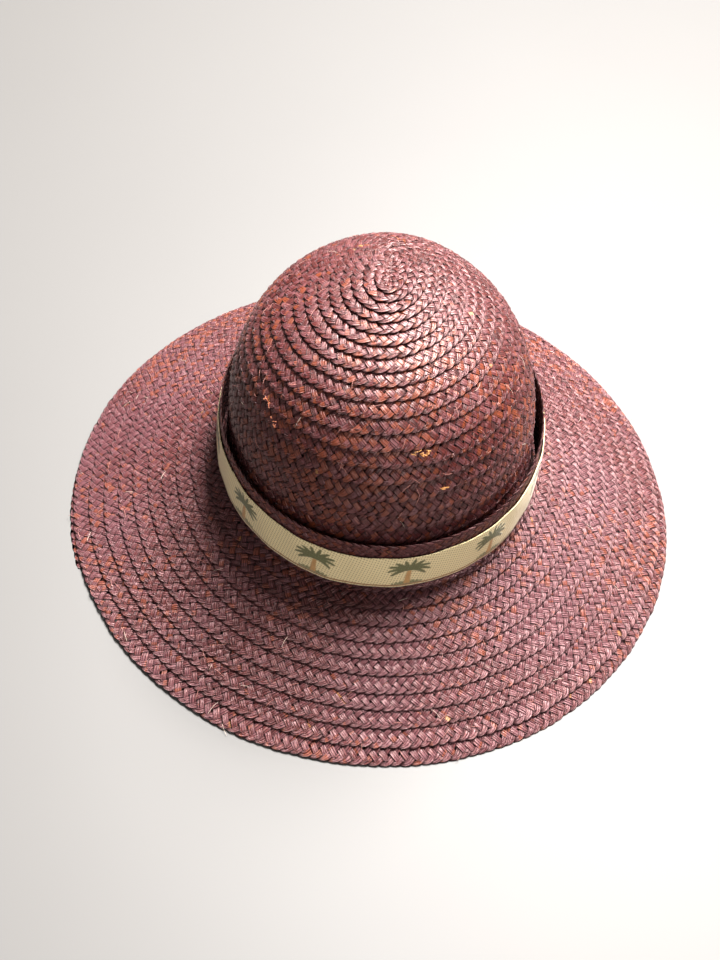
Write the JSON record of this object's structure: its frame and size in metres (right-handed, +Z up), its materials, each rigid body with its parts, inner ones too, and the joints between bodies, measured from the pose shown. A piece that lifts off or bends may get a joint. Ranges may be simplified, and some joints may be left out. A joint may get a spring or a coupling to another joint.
{
  "type": "sun hat",
  "caption": "Wide-brimmed sun hat coiled from sewn raffia plait, with a deep rounded crown, a drooping brim, a loose plaited hatband under a woven ribbon, and an inner sweatband.",
  "frame": {"origin": "centre of the hat's outline, on the level that the brim edge rests on", "axes": "+Z up through the crown; -Y is the front; +X is the wearer's left"},
  "size_m": [0.3702, 0.3792, 0.1803],
  "materials": {
    "straw_crown": "dyed raffia plait, satin fibres",
    "straw_brim": "dyed raffia plait, satin fibres",
    "straw_band": "dyed raffia plait, satin fibres",
    "woven_ribbon": "woven jacquard ribbon, matte",
    "cotton_tape": "ribbed cotton tape, matte"
  },
  "bodies": {
    "hat_body": {"crown_tip": "straw_crown", "crown_dome": "straw_crown", "crown_side": "straw_crown", "brim_inner": "straw_brim", "brim_outer": "straw_brim", "sweatband": "cotton_tape"},
    "hatband": {"band_row_1": "straw_band", "band_row_2": "straw_band", "band_row_3": "straw_band", "band_row_4": "straw_band", "ribbon": "woven_ribbon"}
  },
  "joints": [
    {"name": "band_lift", "type": "slide", "parent": "hat_body", "child": "hatband", "axis": [0, 0, 1], "range_m": [0, 0.14]}
  ]
}
